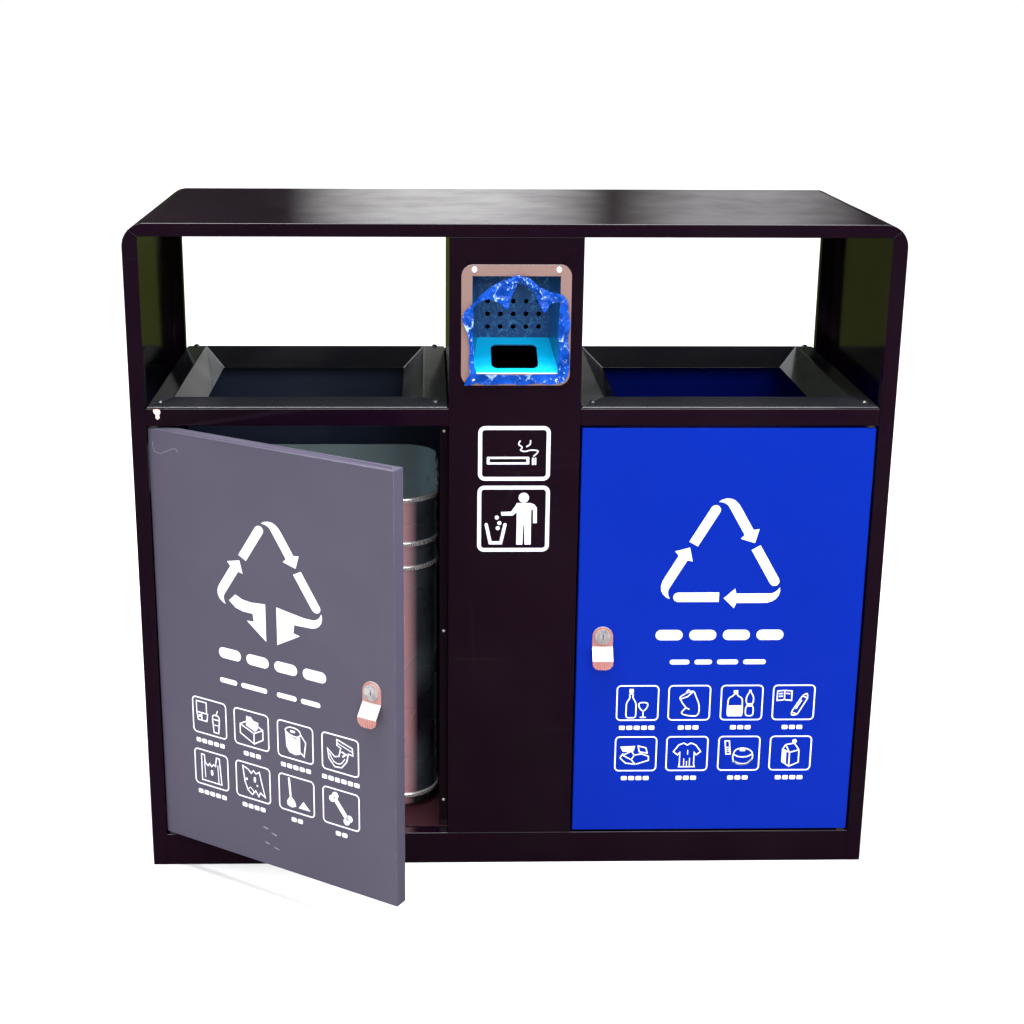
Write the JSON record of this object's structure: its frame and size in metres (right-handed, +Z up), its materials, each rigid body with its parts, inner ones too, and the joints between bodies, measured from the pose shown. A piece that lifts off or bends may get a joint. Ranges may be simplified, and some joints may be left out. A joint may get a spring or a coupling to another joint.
{
  "type": "recycling bin station",
  "caption": "Sheet-metal recycling station with doored compartments, lift-out liners, through-window hoppers and a central column with a recessed ashtray.",
  "frame": {"origin": "centre of the cabinet on the floor plane, on the underside of the cross rail", "axes": "+X to the right seen from the front, +Y to the back, +Z up"},
  "size_m": [1, 0.6063, 0.9],
  "materials": {
    "black_paint": "gloss powder coat",
    "grey_paint": "satin powder coat",
    "blue_paint": "gloss powder coat",
    "stainless": "brushed",
    "galvanised": "smooth galvanised sheet",
    "zinc_steel": "bright zinc plate",
    "chrome_lock": "chrome plate",
    "brass_bush": "turned",
    "nylon": "moulded",
    "film": "thin crinkled protective film"
  },
  "bodies": {
    "cabinet": {"outer_shell": "black_paint", "front_sill_left": "black_paint", "front_sill_right": "black_paint", "rear_sill_left": "black_paint", "rear_sill_right": "black_paint", "plinth_front": "black_paint", "plinth_rear": "black_paint", "cross_rail": "black_paint", "floor_pan": "black_paint", "column_front": "black_paint", "column_rear": "black_paint", "column_flank_left": "black_paint", "column_flank_right": "black_paint", "door_stop_left": "black_paint", "door_stop_right": "black_paint", "rear_panel_left": "grey_paint", "rear_panel_right": "blue_paint", "rear_panel_rivets": "zinc_steel", "hopper_left": "black_paint", "hopper_right": "black_paint", "hopper_screws": "zinc_steel", "ashtray_pan": "stainless", "ashtray_screws": "zinc_steel", "ashtray_film": "film", "ash_shelf": "galvanised", "left_pivot_pins": "zinc_steel", "right_pivot_pins": "zinc_steel", "left_pivot_washers": "nylon", "right_pivot_washers": "nylon"},
    "left_door": {"left_door_pan": "grey_paint", "left_door_bushes": "brass_bush", "left_lock_plate": "stainless", "left_lock_housing": "chrome_lock", "left_housing_nut": "zinc_steel"},
    "left_lock": {"left_lock_rotor": "chrome_lock", "left_lock_cam": "zinc_steel", "left_cam_nut": "zinc_steel"},
    "left_liner": {"left_liner_tub": "galvanised", "left_liner_beads": "galvanised", "left_liner_rim": "galvanised", "left_liner_foot": "galvanised"},
    "right_door": {"right_door_pan": "blue_paint", "right_door_bushes": "brass_bush", "right_lock_plate": "stainless", "right_lock_housing": "chrome_lock", "right_housing_nut": "zinc_steel"},
    "right_lock": {"right_lock_rotor": "chrome_lock", "right_lock_cam": "zinc_steel", "right_cam_nut": "zinc_steel"},
    "right_liner": {"right_liner_tub": "galvanised", "right_liner_beads": "galvanised", "right_liner_rim": "galvanised", "right_liner_foot": "galvanised"},
    "ash_can": {"ash_can": "galvanised"}
  },
  "joints": [
    {"name": "left_door_hinge", "type": "hinge", "parent": "cabinet", "child": "left_door", "pos_m": [-0.47, -0.193, 0.342], "axis": [0, 0, -1], "range_deg": [-33, 67]},
    {"name": "right_door_hinge", "type": "hinge", "parent": "cabinet", "child": "right_door", "pos_m": [0.47, -0.193, 0.342], "axis": [0, 0, 1], "range_deg": [0, 100]},
    {"name": "left_lock_turn", "type": "hinge", "parent": "left_door", "child": "left_lock", "pos_m": [-0.17982, -0.38145, 0.342], "axis": [-0.5446, -0.8387, 0], "range_deg": [0, 90]},
    {"name": "right_lock_turn", "type": "hinge", "parent": "right_door", "child": "right_lock", "pos_m": [0.124, -0.2, 0.342], "axis": [0, 1, 0], "range_deg": [0, 90]},
    {"name": "left_liner_lift", "type": "slide", "parent": "cabinet", "child": "left_liner", "axis": [0, 0, 1], "range_m": [0, 0.05]},
    {"name": "right_liner_lift", "type": "slide", "parent": "cabinet", "child": "right_liner", "axis": [0, 0, 1], "range_m": [0, 0.05]},
    {"name": "ash_can_lift", "type": "slide", "parent": "cabinet", "child": "ash_can", "axis": [0, 0, 1], "range_m": [0, 0.025]}
  ]
}
